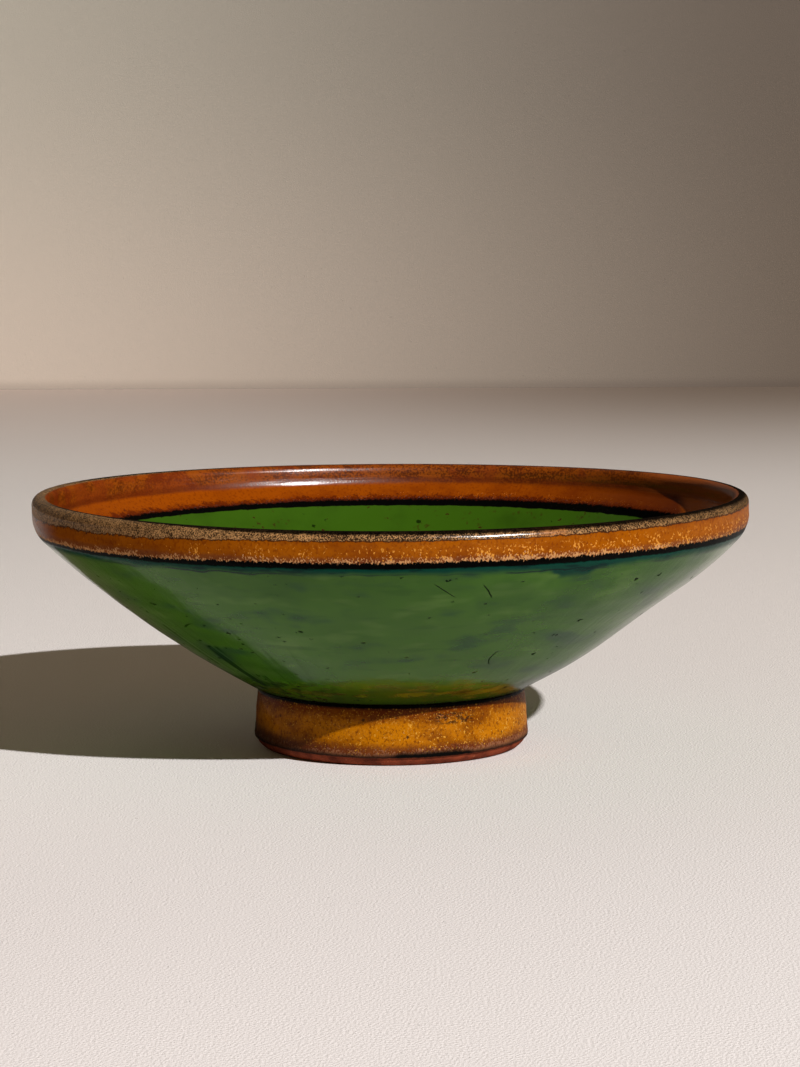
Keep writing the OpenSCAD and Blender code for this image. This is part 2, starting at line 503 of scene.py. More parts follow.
def ringOutline(step):
    seat = footSideMeets(coat, seatRadius)
    lean = math.degrees(footLean)
    edgeTop = onCircle(footEdgeCentre, footEdgeRadius, lean)
    boreEdge = bowlForm["boreEdgeRadius"]
    fineStep = step / 2
    loop = follow(
        arc(Vector((boreRadius + boreEdge, boreEdge)), boreEdge, 180, 270, fineStep),
        line(Vector((boreRadius + boreEdge, 0)), Vector((footEdgeCentre.x, 0)), step),
        arc(footEdgeCentre, footEdgeRadius, -90, lean, fineStep),
        line(edgeTop, seat, step),
        arc(wallCentre, seatRadius, heading(seat - wallCentre), boreAngle(seatRadius), step),
        line(onCircle(wallCentre, seatRadius, boreAngle(seatRadius)), Vector((boreRadius, boreEdge)), step))
    return still(loop)


def slipOutline(step):
    seat = footSideMeets(coat, seatRadius)
    joint = footSideMeets(coat, clayWallRadius)
    loop = follow(
        arc(wallCentre, seatRadius, boreAngle(seatRadius), heading(seat - wallCentre), step),
        arc(wallCentre, clayWallRadius, heading(joint - wallCentre), boreAngle(clayWallRadius), step))
    return still(loop + loop[:1])


# Finishes


def tone(red, green, blue):
    # a screen colour, 0 to 255, as Blender's linear colour
    channels = [c / 255 for c in (red, green, blue)]
    return (*[c / 12.92 if c <= 0.04045 else ((c + 0.055) / 1.055) ** 2.4 for c in channels], 1.0)


surfaceFeel = {
    "glazeRelief": 0.06, "clayRelief": 0.12, "tableRelief": 0.3,  # depth of the bumps in millimetres
    "shine": 0.5, "innerShine": 1.0,  # the lip and the inside mirror more than the outside
    "strokeRise": 0.04,  # how little a stroke down the wall changes with height
}


class Finish(Bench):
    # the nodes of one material, with the places that its patterns follow

    def __init__(self, name):
        self.material = bpy.data.materials.new(name)
        self.material.use_nodes = True
        super().__init__(self.material.node_tree)
        here = self.node("ShaderNodeTexCoord", None, None, "Object")
        self.place = self.vectorMath("MULTIPLY", here, (1 / mm, 1 / mm, 1 / mm))
        self.east = self.apart(self.place).sibling("X")
        thrown = self.apart(self.node("ShaderNodeAttribute", {"attribute_name": "thrown"}, None, "Vector"))
        self.radius = thrown.sibling("X")
        self.turn = thrown.sibling("Y")
        self.height = thrown.sibling("Z")

    def grain(self, size, seed, stretch=(1, 1, 1), detail=2.0, rough=0.5):
        # noise with features of about size millimetres
        spot = self.vectorMath("MULTIPLY", self.place, tuple(s / size for s in stretch))
        return self.noise(spot, seed, detail, rough)

    def grains(self, recipe, *names):
        return [self.grain(*recipe[name]) for name in names]

    def downWall(self, around, seed):
        # noise in long strokes that run up and down the pot
        share = around / self.radius
        stretch = self.vector(share, share, surfaceFeel["strokeRise"])
        return self.noise(self.vectorMath("MULTIPLY", self.place, stretch), seed, 3)

    def wander(self, size, seed, most, stretch=(1, 1, 1), detail=2.0):
        # a shift of up to about most millimetres either way
        return (self.grain(size, seed, stretch, detail) - 0.5) * (most * 3)

    def mix(self, under, over, mask):
        return self.node("ShaderNodeMix", {"data_type": "RGBA"}, {0: mask, 6: under, 7: over}, 2)

    def painted(self, colours, *coats):
        # the main colour, with others laid over it by their masks
        colour = colours["main"]
        for name, mask in coats:
            colour = self.mix(colour, colours[name], mask)
        return colour

    def across(self, start, end):
        # 0 to 1 from one place to another, left to right or back
        return self.fade(self.east, start, end)

    def level(self, start, end, size, seed, most):
        # 0 to 1 from one height to another, with an edge that wanders
        return self.fade(self.height + self.wander(size, seed, most), start, end)

    def most(self, one, other):
        return self.math("MAXIMUM", one, other)

    def specks(self, spacing, size, share, seed, stretch=(1, 1, 1)):
        # scattered spots: share of the cells hold one
        wobble = self.grain(spacing * 0.25, seed + 0.5)
        spot = self.vectorMath("MULTIPLY", self.place, tuple(s / spacing for s in stretch))
        moved = self.vectorMath("ADD", spot, self.vector(wobble * 0.5 + seed, wobble * -0.4, wobble * 0.5))
        cell = self.node("ShaderNodeTexVoronoi", None, {"Vector": moved, "Scale": 1.0})
        chance = self.apart(cell.sibling("Color"))
        held = self.math("GREATER_THAN", chance.sibling("X"), 1 - share)
        own = size / spacing * (0.5 + chance.sibling("Y"))
        return self.fade(cell / own, 1.0, 0.6) * held

    def patch(self, degrees, radius, height, size, seed):
        # an uneven patch about one place on the pot
        a = math.radians(degrees)
        spot = (radius * math.cos(a), radius * math.sin(a), height)
        away = self.node("ShaderNodeVectorMath", {"operation": "DISTANCE"},
                         {0: self.place, 1: spot}, "Value")
        return self.fade(away + self.wander(size * 0.5, seed, size * 0.35), size, size * 0.4)

    def crack(self, degrees, height, length, lean, bend, width=0.26):
        # a line that leans and bends as it runs down the wall
        down = self.height - height
        turn = math.radians(degrees % -360)  # the wheel turns from 0 to -360
        aside = (self.turn - turn) * self.radius - down * lean - down * down * bend
        aside = self.math("ABSOLUTE", aside + self.wander(1.2, degrees, 0.12))
        ends = self.fade(self.math("ABSOLUTE", down), length / 2, length / 2 - 0.8)
        return self.fade(aside, width, width * 0.4) * ends

    def shader(self, layer, depth=surfaceFeel["glazeRelief"], shine=surfaceFeel["shine"]):
        # a wet surface, mixed with a dry one by the layer's dullness
        normal = self.node("ShaderNodeBump", None,
                           {"Strength": 1.0, "Distance": depth * mm, "Height": layer["relief"]})
        shared = {"Base Color": layer["colour"], "Roughness": layer["rough"], "Normal": normal}
        surface = self.node("ShaderNodeBsdfPrincipled", None, {**shared, "Specular IOR Level": shine})
        if layer["dull"] != 0:
            dry = self.node("ShaderNodeBsdfPrincipled", None, {**shared, "Specular IOR Level": 0.0})
            surface = self.node("ShaderNodeMixShader", None, {0: layer["dull"], 1: surface, 2: dry})
        self.node("ShaderNodeOutputMaterial", None, {"Surface": surface})
        return self.material


def blend(under, top, mask):
    if under == top:
        return under
    return (top - under) * mask + under


def over(f, under, top, mask):
    # one layer laid over another where the mask is 1
    laid = {key: blend(under[key], top[key], mask) for key in ("rough", "relief", "dull")}
    return {**laid, "colour": f.mix(under["colour"], top["colour"], mask)}


def stain(f, layer, colour, mask):
    # a change of colour alone
    return {**layer, "colour": f.mix(layer["colour"], colour, mask)}


# Each layer has a colour, a roughness, a relief and a dullness. A grain is given as size, seed, stretch and
# detail, a wander as size, seed and most, a patch as degrees round, radius, height, size and seed, and specks
# as spacing, size, share of the cells and seed. A side is two places across the pot and an edge two heights,
# in millimetres: where a change starts and where it is full.

lineGlaze = {
    "main": tone(4, 4, 3), "teal": tone(1, 54, 42), "tealDeep": tone(1, 30, 28), "brown": tone(34, 18, 11),
    "sheen": (1.5, 21.0), "ripple": (1.0, 22.0), "dull": 0.8,
    "tealReach": (2.5, 0.5), "tealWander": (9, 85.0, 0.7), "tealSpread": (-61, 88, 54, 9, 86.0),
    "tealStreak": (1.2, 86.5, (0.2, 0.2, 1)), "tide": 1.7, "tideBreaks": (18, 88.0),
    "pool": (-72, 34.5, 3.2, 12, 96.0), "poolWander": (7, 96.5, 0.15), "poolRagged": (0.5, 97.5, 0.12),
}


def lineLayer(f):
    g = lineGlaze
    sheen, ripple = f.grains(g, "sheen", "ripple")
    return {"colour": g["main"], "rough": sheen * 0.15 + 0.18, "relief": ripple * 0.6, "dull": g["dull"]}


hairCracks = [
    # degrees round, height, length, lean, bend, and a width where it is more than a hair
    (-81.4, 49.4, 4.2, -1.5, 0.03),
    (-74.2, 48.9, 4.2, -0.87, -0.09),
    (-65.8, 29.6, 4.6, -0.04, 0.26),
    (-135.5, 37.0, 2.2, 3.0, 0.9, 0.7),
    (60.0, 44.0, 5.0, -0.8, 0.1),
    (150.0, 36.0, 4.0, 0.5, -0.1),
]
darkRuns = [
    (-137.5, 25.0, 13.0, 0.1, 0.02, 3.2),
    (-131.0, 20.0, 7.0, 0.2, 0.0, 1.1),
    (-147.0, 30.0, 12.0, 0.1, 0.0, 0.9),
    (40.0, 26.0, 12.0, -0.1, 0.02, 2.0),
    (118.0, 24.0, 10.0, 0.2, 0.0, 1.4),
]
greenGlaze = {
    "main": tone(57, 98, 16), "deep": tone(32, 71, 7), "blue": tone(24, 64, 34), "pale": tone(88, 120, 50),
    "ochreAndFootReflection": tone(104, 104, 6), "rust": tone(112, 72, 10), "speck": tone(5, 8, 4), "run": tone(6, 26, 12),
    "olive": tone(46, 56, 8),
    "cloud": (16, 1.0, (0.5, 0.5, 1), 3), "smear": (5.5, 2.0, (0.33, 0.33, 1), 2, 0.55),
    "streak": (1.8, 3.0, (0.14, 0.14, 1)), "brush": (1.7, 3.5, (0.3, 0.3, 1)),
    "clods": (1.5, 4.1, (0.5, 0.5, 1), 3), "ripple": (2.6, 7.0, (0.5, 0.5, 1)), "pitting": (0.7, 7.5),
    "drips": (11, 7.3), "fineDrips": (23, 7.6), "scars": (34, 7.8),  # strokes to a radian, and seed
    "spill": (-70, 42, 19.0, 16, 4.3), "dusk": (-70, 81, 47.5, 11, 4.5),
    "specks": (3.6, 0.42, 0.6, 5.0), "fineSpecks": (3.0, 0.26, 0.55, 5.7), "leftSpecks": (2.4, 0.3, 0.7, 5.3),
    "speckStretch": (0.6, 0.6, 1.2),
    # edges near the foot that wander: heights, then a wander
    "amberEdge": (21.0, 18.5, 5.0, 4.7, 0.5), "lowClotEdge": (24.0, 19.0, 4.0, 4.4, 1.0),
    "oliveEdge": (23.0, 18.5, 4.0, 4.9, 0.8), "dryEdge": (23.5, 19.5, 4.0, 7.9, 0.8),
    "strokeEdge": (26, 19), "runEdge": (44, 26), "seamShade": (17.2, 15.6), "seamLine": (15.85, 15.4),
    "seamWander": (3.0, 6.5, 0.12),
    "clotSide": (-4, -22), "speckSide": (-8, -30), "runSide": (-12, -34), "drySide": (36, 22),
}


def greenLayer(f):
    g = greenGlaze
    cloud, smear, streak, brush, clods = f.grains(g, "cloud", "smear", "streak", "brush", "clods")
    ripple, pitting = f.grains(g, "ripple", "pitting")
    drip = f.downWall(*g["drips"]) * 2.6 + f.downWall(*g["fineDrips"]) * 1.1
    scar = f.downWall(*g["scars"])
    # amber runs up from the foot, and its ochre and rust streaks are also painted reflection of the amber
    # foot where the glaze mirrors it; darker clots and dark runs lie at the left
    spill = f.patch(*g["spill"])
    left = f.across(*g["clotSide"])
    nearFoot = f.level(*g["amberEdge"])
    ochreAndFootReflection = nearFoot * f.fade(brush + spill * 0.1, 0.62, 0.7) * (1 - left * 0.8)
    rust = nearFoot * f.fade(streak + spill * 0.08, 0.64, 0.74) * (1 - left * 0.8)
    strokes = f.fade(streak * 0.6 + brush * 0.4, 0.56, 0.66)
    strokes = f.fade(f.height, *g["strokeEdge"]) * strokes * (1 - ochreAndFootReflection)
    # darker clots low on the wall, laid on its left side only
    lowLeftClots = f.level(*g["lowClotEdge"]) * f.fade(clods, 0.47, 0.6)
    run = f.across(*g["runSide"]) * f.fade(f.height, *g["runEdge"]) * f.fade(scar, 0.54, 0.64) * 0.4
    for place in darkRuns:
        run = f.most(run, f.crack(*place))
    run = run * f.fade(scar, 0.34, 0.5)
    stretch = g["speckStretch"]
    mark = f.most(f.specks(*g["specks"], stretch), f.specks(*g["fineSpecks"], stretch))
    mark = f.most(mark, f.specks(*g["leftSpecks"], stretch) * f.across(*g["speckSide"]))
    for place in hairCracks:
        mark = f.most(mark, f.crack(*place))
    seam = f.height + f.wander(*g["seamWander"])
    colour = f.painted(
        g,
        ("deep", f.fade(cloud, 0.42, 0.72) * 0.65),
        ("pale", f.fade(smear, 0.47, 0.3) * 0.45),
        ("blue", f.fade(smear, 0.52, 0.7) * 0.8),
        ("deep", f.fade(streak, 0.56, 0.72) * 0.4),
        ("olive", f.level(*g["oliveEdge"]) * 0.75),
        ("ochreAndFootReflection", ochreAndFootReflection * 0.4),
        ("rust", rust * 0.3),
        ("speck", strokes * 0.45),
        ("run", lowLeftClots * left * 0.65),
        ("run", run * 0.85),
        ("deep", f.patch(*g["dusk"]) * 0.35),
        ("speck", mark * 0.92),
        ("run", f.fade(seam, *g["seamShade"]) * 0.5))
    colour = f.mix(colour, lineGlaze["main"], f.fade(seam, *g["seamLine"]))
    relief = ripple * 0.8 + drip + pitting * 0.12 - mark * 0.5
    # drier in streaks near the foot, so that it mirrors the foot in strokes
    mirrored = f.fade(brush + spill * 0.08, 0.52, 0.66) * 0.45
    dry = f.level(*g["dryEdge"]) * (0.8 - mirrored) * f.across(*g["drySide"])
    dull = f.most(f.most(mark * 0.9, run * 0.8), dry)
    return {"colour": colour, "rough": 0.1 + smear * 0.12, "relief": relief, "dull": dull}


linerGlaze = {
    "main": tone(51, 84, 10), "deep": tone(40, 68, 5), "speck": tone(52, 24, 6), "dark": tone(10, 20, 3),
    "rustSpecks": (2.8, 0.46, 0.5, 12.0), "darkSpecks": (3.2, 0.5, 0.5, 13.0, (1, 1, 0.6)),
    "cloud": (13, 11.0, (1, 1, 1), 3), "flecks": (1.3, 13.5, (1, 1, 0.4)), "fleckPatches": (7, 13.7),
    "ripple": (3.0, 14.0),
}


def linerLayer(f):
    g = linerGlaze
    cloud, flecks, patches, ripple = f.grains(g, "cloud", "flecks", "fleckPatches", "ripple")
    speck = f.specks(*g["rustSpecks"])
    dark = f.specks(*g["darkSpecks"])
    fleck = f.fade(flecks, 0.58, 0.7) * f.fade(patches, 0.46, 0.62)
    colour = f.painted(
        g,
        ("deep", f.fade(cloud, 0.48, 0.75) * 0.7),
        ("speck", f.most(speck * 0.85, fleck * 0.6)),
        ("dark", dark * 0.85))
    return {"colour": colour, "rough": 0.2 + cloud * 0.1,
            "relief": ripple * 0.6 - dark * 0.4, "dull": dark * 0.6 + 0.3}


# what the three amber coats share
amberGrain = {
    "cloud": (8, 31.0, (0.6, 0.6, 1), 3), "fine": (0.7, 32.0, (1, 1, 0.8)),
    "needle": (0.36, 33.0, (1, 1, 0.55), 1.0), "dot": (0.44, 33.5, (1, 1, 0.8), 1.0), "cluster": (3.2, 34.0),
    "westSide": (-15, -80), "sunnySide": (-25, 40), "crustEnd": (30, 80), "wetEnd": (-79, -88),
}
# reaches are shares of the band's height, from its lower edge
amberRim = {
    "main": tone(138, 71, 1), "deep": tone(104, 44, 1), "gold": tone(196, 130, 46),
    "crust": tone(180, 130, 84), "mauve": tone(82, 46, 34),
    "mauveReach": 0.32, "mauveShare": 0.5, "mauveRagged": 0.5,
    "goldFrom": 0.95, "goldLevel": 0.645, "crustReach": 0.9, "west": 0.05, "dull": 0.78,
}
amberIn = {
    "main": tone(143, 64, 1), "deep": tone(112, 41, 1), "gold": tone(170, 88, 12), "crust": tone(70, 18, 4),
    "mauve": tone(74, 18, 3), "mauveReach": 0.3, "mauveShare": 0.8, "mauveRagged": 1.6,
    "goldFrom": 0.5, "goldLevel": 0.7, "crustReach": 1.0, "west": -0.1, "dull": 0.4,
    # painted shade on the right of the inside, where the rim faces away from the lamp, and painted bounce
    # light past the shadow's edge at its far end
    "shade": tone(92, 32, 1), "paintedBounce": tone(186, 94, 4), "shadeSide": (30, 75), "paintedBounceSide": (75.5, 79),
}
amberFoot = {
    "main": tone(167, 99, 1), "deep": tone(88, 34, 1), "gold": tone(196, 138, 44), "crust": tone(126, 80, 54),
    "mauve": tone(84, 36, 18), "mauveReach": 0.28, "mauveShare": 0.85, "mauveRagged": 0.5,
    "goldFrom": 1.3, "goldLevel": 0.69, "crustReach": 1.7, "west": 0.1, "dull": 0.75,
    "blots": (2.6, 0.36, 0.55, 43.0), "scorch": (-62, 34.4, 11.4, 8.0, 44.5), "scorchHeight": 11.6,
    "pepper": (0.42, 41.0), "pepperPatches": (3.5, 42.0), "char": (0.5, 44.0, (0.4, 0.4, 1)),
    "salt": (0.45, 45.0), "saltPatches": (4.0, 46.0),
    "browningAndShade": (2.5, 40.0, 0.12), "lowLeftDarkening": (1.2, 46.5, 0.06), "lowLeftSide": (-10, -30),
}


def amberLayer(f, recipe, low, high):
    # amber that breaks to mauve and to a crust of pale grains towards its lower edge
    g = amberGrain
    cloud, fine, needle, dot, cluster = f.grains(g, "cloud", "fine", "needle", "dot", "cluster")
    depth = (f.height - low) / (high - low)
    west = f.across(*g["westSide"])
    sunny = f.across(*g["sunnySide"])
    upper = f.fade(depth, 0.35, 0.7) * west
    # the recipe's west share paints shade on the left of the outside, which faces away from the lamp, and
    # light on the left of the inside, which faces it
    deep = f.fade(cloud + west * recipe["west"], 0.44, 0.72) * (1 - upper * 0.9)
    reach = recipe["mauveReach"]
    ragged = (cluster * 0.5 + fine * 0.5 - 0.5) * recipe["mauveRagged"]
    mauve = f.fade(depth + ragged - west * 0.04, reach, reach * 0.3)
    sprinkle = dot + (cluster - 0.5) * 0.36 + sunny * 0.06 - west * 0.07
    gold = f.fade(sprinkle, recipe["goldLevel"], recipe["goldLevel"] + 0.06)
    gold = gold * f.fade(depth, recipe["goldFrom"], 0.4)
    crust = needle + (cluster - 0.5) * 0.5 - depth * recipe["crustReach"] - west * 0.06 + sunny * 0.08
    crust = crust - f.across(*g["crustEnd"]) * 0.15
    crust = f.fade(crust, 0.42, 0.52)
    colour = f.painted(
        recipe,
        ("deep", deep * 0.9),
        ("deep", f.fade(fine, 0.48, 0.72) * 0.75),
        ("mauve", mauve * recipe["mauveShare"]),
        ("gold", gold * 0.9),
        ("crust", crust * 0.95))
    dull = recipe["dull"] + west * 0.2 - f.across(*g["wetEnd"]) * 0.55
    return {"colour": colour, "rough": 0.2 + gold * 0.1 + crust * 0.25,
            "relief": cloud * 0.8 + fine * 0.2 + gold * 0.4 + crust * 0.9,
            "dull": f.most(dull, crust * 0.95)}


def footLayer(f, low, high):
    # foot amber with dark and pale grains, browner under the joint, from the glaze's own browning and painted
    # shade under the bowl
    g = amberFoot
    layer = amberLayer(f, g, low, high)
    depth = (f.height - low) / (high - low)
    # painted shade under the bowl, together with the glaze's browning, at the top of the foot
    under = f.fade(depth + f.wander(*g["browningAndShade"]), 0.58, 0.95)
    pepper, patches, char = f.grains(g, "pepper", "pepperPatches", "char")
    pepper = f.fade(pepper, 0.52, 0.66) * f.fade(patches, 0.36, 0.6)
    blot = f.specks(*g["blots"])
    scorch = f.fade(char, 0.46, 0.56) * f.patch(*g["scorch"])
    scorch = scorch * f.fade(f.math("ABSOLUTE", f.height - g["scorchHeight"]), 1.9, 1.0)
    dark = f.most(pepper * 0.45, f.most(blot * 0.9, scorch))
    salt, patches = f.grains(g, "salt", "saltPatches")
    salt = f.fade(salt, 0.57, 0.66) * f.fade(patches + under * 0.16, 0.46, 0.6)
    # darker towards the bottom of the foot at the left
    lowLeftDarkening = f.across(*g["lowLeftSide"]) * f.fade(depth + f.wander(*g["lowLeftDarkening"]), 0.42, 0.08)
    layer = stain(f, layer, g["deep"], under * 0.9)
    layer = stain(f, layer, lineGlaze["brown"], f.most(dark * 0.8, f.fade(depth, 0.93, 1.0) * 0.8))
    layer = stain(f, layer, g["gold"], salt * 0.5)
    layer = stain(f, layer, lineGlaze["brown"], lowLeftDarkening * 0.6)
    return {**layer, "relief": layer["relief"] - dark * 0.3 + salt * 0.4}


ironLip = {
    "main": tone(42, 28, 15), "pale": tone(178, 132, 84), "ember": tone(162, 102, 52), "crest": tone(4, 3, 2),
    "bare": (-65.8, 90, 63, 6, 54.0),
    "fleck": (0.27, 51.0, (1, 1, 0.8), 1.0), "blotch": (1.3, 52.0), "region": (12, 53.0),
    "westSide": (-10, -70), "sunnySide": (35, 65), "dryEdge": (62.7, 62.2),
    # the crest line, and the seam of outside and inside, in millimetres inward of the lip's middle
    "crestReach": (-1.85, -1.4), "crestBack": (0.7, 0.35), "seam": (0.5, 0.1),
    "crestWander": (2.5, 97.0, 0.15), "crestRagged": (0.5, 98.0, 0.15),
    "turnSide": (-25, -80), "endSide": (-87, -78), "breakSide": (40, 75),
}


def lipLayer(f):
    g = ironLip
    fleck, blotch, region = f.grains(g, "fleck", "blotch", "region")
    west = f.across(*g["westSide"])
    sunny = f.across(*g["sunnySide"])
    pale = fleck + (blotch - 0.5) * (0.5 - sunny * 0.2 - west * 0.2) + (region - 0.5) * 0.2 + west * 0.02
    pale = f.fade(pale, 0.39 - west * 0.09, 0.67 + west * 0.1)
    bare = f.patch(*g["bare"])
    colour = f.painted(
        g,
        ("pale", pale * (0.92 - sunny * 0.36)),
        ("ember", bare * (0.35 + pale * 0.5)))
    dull = 0.25 + f.fade(f.height, *g["dryEdge"]) * 0.5
    return {"colour": colour, "rough": 0.18 + pale * 0.04, "relief": pale * 0.06 + blotch * 0.3, "dull": dull}


rustLip = {
    "main": tone(140, 66, 7), "deep": tone(80, 29, 2), "red": tone(116, 38, 10), "band": tone(88, 30, 2),
    # painted bounce light for the shaded right end of the rust
    "paintedBounce": tone(176, 88, 30),
    "cloud": (4, 61.0, (0.5, 0.5, 1), 3), "fine": (0.55, 62.0), "blush": (7, 63.0), "pepper": (0.42, 66.0),
    "rings": (0.9, 65.0, (0.05, 0.05, 1)), "tooth": (0.4, 65.5), "creaseWander": (4.0, 64.0, 0.25),
    "westSide": (-20, -75), "shadeSide": (35, 78), "paintedBounceSide": (65, 74),
    "drySide": (55, 68), "wetSide": (80, 86),
}


def rustLayer(f):
    g = rustLip
    cloud, fine, blush, pepper = f.grains(g, "cloud", "fine", "blush", "pepper")
    rings, tooth = f.grains(g, "rings", "tooth")
    west = f.across(*g["westSide"])
    mottle = fine * (0.65 - west * 0.2) + cloud * (0.35 + west * 0.2)
    calm = 0.95 - west * 0.12
    crease = f.height + f.wander(*g["creaseWander"]) - glazeEdges["lipIn"]
    crease = f.fade(f.math("ABSOLUTE", crease - 0.5), 1.3, 0.3)
    colour = f.painted(
        g,
        ("deep", f.fade(mottle, 0.44, 0.58) * calm),
        ("red", f.fade(blush + west * 0.1, 0.52, 0.68) * 0.5),
        ("band", crease * (0.35 + fine * 0.7)),
        ("deep", f.fade(pepper, 0.5, 0.66) * west * 0.4))
    relief = rings * 2.0 + tooth * 0.7 + cloud * 0.4
    return {"colour": colour, "rough": 0.26 + fine * 0.08, "relief": relief, "dull": 0.3 + west * 0.42}


bareClay = {
    "main": tone(128, 58, 34), "deep": tone(72, 28, 17), "grog": tone(160, 90, 60),
    "grogSpecks": (1.5, 0.3, 0.45, 72.0), "cloud": (3.5, 71.0, (1, 1, 1), 4),
    "rings": (0.9, 73.0, (0.05, 0.05, 1)), "tooth": (0.5, 74.0, (1, 1, 1), 3),
}


def clayLayer(f):
    cloud, rings, tooth = f.grains(bareClay, "cloud", "rings", "tooth")
    grog = f.specks(*bareClay["grogSpecks"])
    colour = f.painted(bareClay, ("deep", f.fade(cloud, 0.38, 0.7) * 0.8), ("grog", grog * 0.5))
    return {"colour": colour, "rough": 0.62 + cloud * 0.2,
            "relief": tooth + rings * 0.6 + grog * 0.4, "dull": 0.8}


# Where one glaze gives way to the next: each returns millimetres above its edge, which wanders

edgeWander = {
    "line": (1.6, 81.0, 0.2, (1, 1, 1), 3), "foot": (1.6, 95.0, 0.15, (1, 1, 1), 3),
    "needle": (0.45, 82.0, 0.65, (1, 1, 0.5)), "fringe": (2.4, 83.0, 0.25), "sagSide": (-20, -75),
    "lip": (2.2, 84.0, 0.35, (1, 1, 1), 4), "lipFine": (0.5, 84.5, 0.25), "lipSide": (-15, -75),
    "inner": (3.0, 91.0, 0.2, (1, 1, 1), 3), "innerAmber": (0.8, 92.0, 0.4),
}
# millimetres above an edge where the upper glaze starts and where it is full
edgeSoft = {
    "line": (-0.35, 0.15), "fringe": (-0.1, 0.15), "lipShade": (-0.35, -0.1), "lip": (0.0, 0.16),
    "innerLine": (-0.12, 0.1), "innerAmber": (-0.2, 0.45), "rust": (-0.8, 0.3),
    "footLine": (-0.35, 0.3), "footAmber": (-0.75, 0.6), "footJoint": (-0.2, 0.15),
}


def aboveLine(f):
    return f.height + f.wander(*edgeWander["line"]) - glazeEdges["greenOut"]


def aboveFringe(f):
    # needles of the crust hang over the line
    needle = f.wander(*edgeWander["needle"])
    sag = f.across(*edgeWander["sagSide"]) * 0.6
    return f.height + needle + sag + f.wander(*edgeWander["fringe"]) - glazeEdges["amberOut"]


def aboveLip(f):
    west = f.across(*edgeWander["lipSide"])
    ragged = f.wander(*edgeWander["lip"]) + f.wander(*edgeWander["lipFine"])
    return f.height + ragged * (1 + west * 1.2) + west * 1.2 - glazeEdges["lipOut"]


def aboveInner(f, edge):
    return f.height + f.wander(*edgeWander["inner"]) - glazeEdges[edge]


def aboveInnerAmber(f):
    return aboveInner(f, "amberIn") + f.wander(*edgeWander["innerAmber"])


def lay(f, layer, top, soft, above, *edge):
    # a glaze over what lies below its edge, or alone where nothing does
    if layer is None:
        return top
    return over(f, layer, top, f.fade(above(f, *edge), *edgeSoft[soft]))


def softEdge(height, soft):
    return [height + reach for reach in edgeSoft[soft]]


def tealBleed(f, layer):
    # the line's colour bleeds down into the green and leaves a thin tide mark
    g = lineGlaze
    streak, breaks = f.grains(g, "tealStreak", "tideBreaks")
    drop = glazeEdges["greenOut"] - f.height + f.wander(*g["tealWander"])
    spread = f.patch(*g["tealSpread"])
    bleed = f.fade(drop - spread * 2.0, *g["tealReach"])
    layer = stain(f, layer, g["teal"], bleed)
    layer = stain(f, layer, g["tealDeep"], bleed * f.fade(streak, 0.5, 0.62) * 0.7)
    tide = f.fade(f.math("ABSOLUTE", drop - g["tide"]), 0.3, 0.06) * f.fade(breaks, 0.42, 0.55)
    layer = stain(f, layer, g["tealDeep"], tide * 0.8)
    return {**layer, "dull": f.most(layer["dull"], bleed * 0.5)}


def outsideLayers(f, first, last):
    # the outside of the rim from the wall up, from one named layer to another
    names = ["green", "line", "amber", "lip"]
    wanted = names[names.index(first):names.index(last) + 1]
    layer = None
    if "green" in wanted:
        layer = tealBleed(f, greenLayer(f))
    if "line" in wanted:
        layer = lay(f, layer, lineLayer(f), "line", aboveLine)
    if "amber" in wanted:
        amber = amberLayer(f, amberRim, glazeEdges["amberOut"], glazeEdges["lipOut"])
        layer = lay(f, layer, amber, "fringe", aboveFringe)
    if "lip" in wanted:
        rise = aboveLip(f)
        layer = stain(f, layer, lineGlaze["brown"], f.fade(rise, *edgeSoft["lipShade"]) * 0.85)
        layer = over(f, layer, lipLayer(f), f.fade(rise, *edgeSoft["lip"]))
    return layer


def insideLayers(f, first, last):
    names = ["liner", "line", "amber", "rust"]
    wanted = names[names.index(first):names.index(last) + 1]
    layer = None
    if "liner" in wanted:
        layer = linerLayer(f)
    if "line" in wanted:
        layer = lay(f, layer, lineLayer(f), "innerLine", aboveInner, "greenIn")
    if "amber" in wanted:
        amber = amberLayer(f, amberIn, glazeEdges["amberIn"], glazeEdges["lipIn"])
        # painted shade on the right of the inside, then painted bounce light from the lit far wall near the
        # rim's end
        amber = stain(f, amber, amberIn["shade"], f.across(*amberIn["shadeSide"]) * 0.8)
        amber = stain(f, amber, amberIn["paintedBounce"], f.across(*amberIn["paintedBounceSide"]) * 0.9)
        layer = lay(f, layer, amber, "innerAmber", aboveInnerAmber)
    if "rust" in wanted:
        # painted shade on the right of the rust, then painted bounce light past the shadow's edge near the
        # rim's end
        rust = stain(f, rustLayer(f), rustLip["deep"], f.across(*rustLip["shadeSide"]) * 0.35)
        rust = stain(f, rust, rustLip["paintedBounce"], f.across(*rustLip["paintedBounceSide"]) * 0.5)
        layer = lay(f, layer, rust, "rust", aboveInner, "lipIn")
    # drier where the rim turns away from the lamp, wet again at its end
    drier = f.across(*rustLip["drySide"]) * 0.35 - f.across(*rustLip["wetSide"]) * 0.6
    return {**layer, "dull": f.most(layer["dull"] + drier, 0)}


